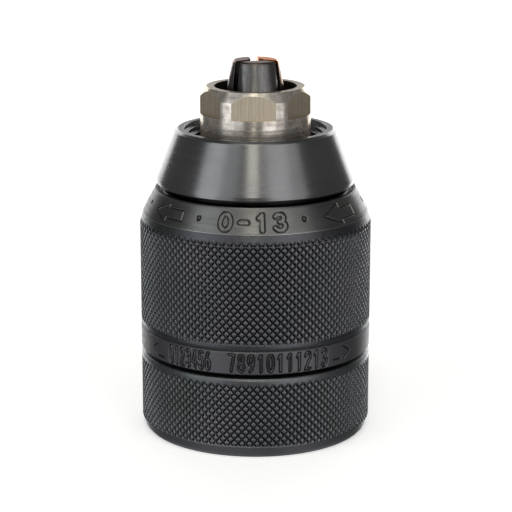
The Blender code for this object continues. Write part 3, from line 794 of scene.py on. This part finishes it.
def cut_teeth(rod, azimuth):
    """Cut the gaps between a jaw's teeth, one tilted round groove for each ridge of the threaded ring."""
    cosine, sine = math.cos(JAW_ANGLE), math.sin(JAW_ANGLE)
    mesh_radius = jaw_rho(RING_TOP_Z)
    tilt = math.atan(JAW_RISE / (2 * math.pi * (mesh_radius + RING_OFFSET)))
    height = TEETH_START_Z + JAW_RISE * (azimuth % 360) / 360
    while height > TEETH_LOWEST_Z:
        height -= JAW_RISE
    while height + JAW_RISE < RING_TOP_Z + JAW_TRAVEL_Z:
        height += JAW_RISE
        outline = []
        for (offset, half), side in ((GAP_FOOT, 1), (GAP_MOUTH, 1), (GAP_MOUTH, -1), (GAP_FOOT, -1)):
            rise, along = offset - RING_OFFSET, half * side
            radius = mesh_radius + RING_OFFSET / cosine + rise * cosine - along * sine
            outline.append((radius, rise * sine + along * cosine))
        tool = lathe("gap", outline, 144)
        inward = jaw_rho(height) - mesh_radius
        place = Matrix.Translation(Vector((inward, 0, height)) * MM)
        tool.matrix_world = place @ Matrix.Rotation(tilt, 4, "X")
        boolean(rod, tool)


def jaw(number, azimuth):
    """One jaw, cut as the CAD jaw is, with finer sides and broken edges."""
    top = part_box(f"jaw_{number}")[1].z / MM
    ends = [(jaw_rho(z), 0, z) for z in (37.0, 71.0)]
    rod = fine_cylinder(f"ground_jaw_{number}", JAW_R, *ends, 96)
    spread, far = math.tan(math.radians(60)), 9.0
    land, apex = 1.35, 0.85
    outline = [
        (land, (land - apex) * spread),
        (far, (far - apex) * spread),
        (-far, (far - apex) * spread),
        (-far, -(far - apex) * spread),
        (far, -(far - apex) * spread),
        (land, -(land - apex) * spread),
    ]
    boolean(rod, prism("wedge", outline, 30, 75))
    around = rounded(
        [
            (3.62, top + 4, 0),
            (12.5, top + 4, 0),
            (12.5, 57.17, 0),
            (9.5, 57.17, 0),
            (5.85, 61.0, 0),
            (4.2, top - 0.3, 0.3),
            (3.85, top, 0),
        ]
    )
    boolean(rod, lathe("tip", around, 144))
    boolean(rod, prism("top", [(-9, -9), (9, -9), (9, 9), (-9, 9)], top - 0.001, top + 5))
    cut_teeth(rod, azimuth)
    rod.data.transform(Matrix.Rotation(math.radians(azimuth), 4, "Z"))
    dress(rod, copper_tipped_steel if number == 2 else jaw_steel)
    finish_edges(rod, 0.09)
    return rod


def place_pieces():
    """Make the fine pieces and hang each on its body in place of its CAD node."""
    for piece, body, node, slot in (
        (sleeve_barrel(), "sleeve", "clamping_sleeve", "blackened_steel"),
        (sleeve_shoulder(), "sleeve", "clamping_sleeve", "blackened_steel"),
        (marking_ring(), "sleeve", "marking_ring", "matte_black_steel"),
        (rear_sleeve(), "chuck", "rear_sleeve", "blackened_steel"),
        (front_cap(), "sleeve", "front_cap", "blackened_satin_steel"),
        (chuck_body(), "chuck", "chuck_body", "bright_steel"),
        *((jaw(n, a), f"jaw_{n}", f"jaw_{n}", "jaw_steel") for n, a in enumerate(JAW_AZIMUTHS, 1)),
    ):
        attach(piece, body)
        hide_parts(node)


def dress_hidden():
    """Materials of the CAD pieces that stay, inside the sleeves and under the cap."""
    for name, node in NODES.items():
        if name.startswith(("ball_0", "ball_1")):
            look = ball_steel
        elif name == "ball_cage":
            look = cage_brass
        elif name.endswith("_race"):
            look = race_steel
        elif name.startswith(("threaded_ring", "ring_band", "ratchet")):
            look = oiled_steel
        elif name in ("retaining_ring", "pawl_carrier", "locking_pawl", "pawl_spring"):
            look = spring_steel
        else:
            continue
        dress(node, look)


# ---------------------------------------------------------------- studio


def softbox(name, azimuth, elevation, distance, size, radiance, colour=(1, 1, 1)):
    """A rectangular light that faces the chuck. Azimuth 0 is the camera's side and grows to its right."""
    light = bpy.data.lights.new(name, "AREA")
    light.shape = "RECTANGLE"
    light.size, light.size_y = size
    light.energy = radiance * math.pi * size[0] * size[1]
    light.color = colour
    lamp = bpy.data.objects.new(name, light)
    around, up = math.radians(azimuth), math.radians(elevation)
    away = Vector((math.sin(around) * math.cos(up), -math.cos(around) * math.cos(up), math.sin(up)))
    lamp.location = Vector((0, 0, 0.035)) + away * distance
    lamp.rotation_euler = away.to_track_quat("Z", "Y").to_euler()
    lamp.visible_camera = False
    bpy.context.scene.collection.objects.link(lamp)


def studio():
    """A pale floor, even surroundings and tall soft panels."""
    world = bpy.data.worlds.new("studio")
    world.use_nodes = True
    nodes, links = world.node_tree.nodes, world.node_tree.links
    ground = nodes["Background"]
    ground.inputs["Color"].default_value = (1.0, 1.0, 1.0, 1.0)
    ground.inputs["Strength"].default_value = 0.16
    white = nodes.new("ShaderNodeBackground")
    white.inputs["Strength"].default_value = 1.0
    seen = nodes.new("ShaderNodeLightPath")
    pick = nodes.new("ShaderNodeMixShader")
    links.new(seen.outputs["Is Camera Ray"], pick.inputs["Fac"])
    links.new(ground.outputs["Background"], pick.inputs[1])
    links.new(white.outputs["Background"], pick.inputs[2])
    links.new(pick.outputs["Shader"], nodes["World Output"].inputs["Surface"])
    bpy.context.scene.world = world

    cool, plain, warm = (0.94, 0.97, 1.0), (1.0, 0.99, 1.0), (1.0, 0.97, 0.86)
    softbox("left_wide", -47.5, 10, 0.7, (0.62, 1.1), 0.66, cool)
    softbox("left_core", -59, 12, 0.71, (0.36, 1.0), 0.62, cool)
    softbox("front_strip", -3.6, 40, 0.8, (0.17, 1.05), 2.5, warm)
    softbox("front_low", -3.6, -10, 0.8, (0.1, 0.5), 0.6, warm)
    softbox("right_wide", 37, 10, 0.7, (0.64, 1.1), 0.78, plain)
    softbox("right_core", 31, 12, 0.71, (0.32, 1.0), 0.5, plain)
    softbox("left_back", -156, 0, 0.8, (0.44, 0.8), 2.4)
    softbox("right_back", 156, 0, 0.8, (0.44, 0.8), 3.2)
    softbox("backdrop", 180, 12, 0.82, (0.3, 0.9), 0.65)
    softbox("overhead", 180, 82, 0.9, (0.5, 0.4), 0.25)
    softbox("front_high", -3.6, 68, 0.9, (0.7, 0.45), 0.9, warm)
    softbox("underneath", 0, -86, 0.6, (1.2, 1.2), 0.25)

    bpy.ops.mesh.primitive_plane_add(size=6.0, location=(0, 0, -0.00002))
    floor = bpy.context.object
    floor.name = "floor"
    pale = bpy.data.materials.new("pale_floor")
    pale.use_nodes = True
    shader = pale.node_tree.nodes["Principled BSDF"]
    shader.inputs["Base Color"].default_value = (0.95, 0.95, 0.95, 1.0)
    shader.inputs["Roughness"].default_value = 0.9
    shader.inputs["Specular IOR Level"].default_value = 0.0
    shader.inputs["Emission Color"].default_value = (1.0, 1.0, 1.0, 1.0)
    shader.inputs["Emission Strength"].default_value = 0.47
    floor.data.materials.append(pale)
    floor.visible_glossy = False
    floor.visible_shadow = False


def camera():
    """The photograph's view: a long lens, a little above the chuck and level from side to side."""
    lens = bpy.data.cameras.new("camera")
    lens.sensor_width = 36.0
    lens.lens = 134.85
    lens.shift_x = 0.001
    view = bpy.data.objects.new("camera", lens)
    view.location = (0.0, -0.3460, 0.1209)
    view.rotation_euler = (math.radians(75.62), 0.0, 0.0)
    bpy.context.scene.collection.objects.link(view)
    bpy.context.scene.camera = view


camera()
place_pieces()
dress_hidden()
studio()
bpy.context.scene.view_settings.view_transform = "Standard"
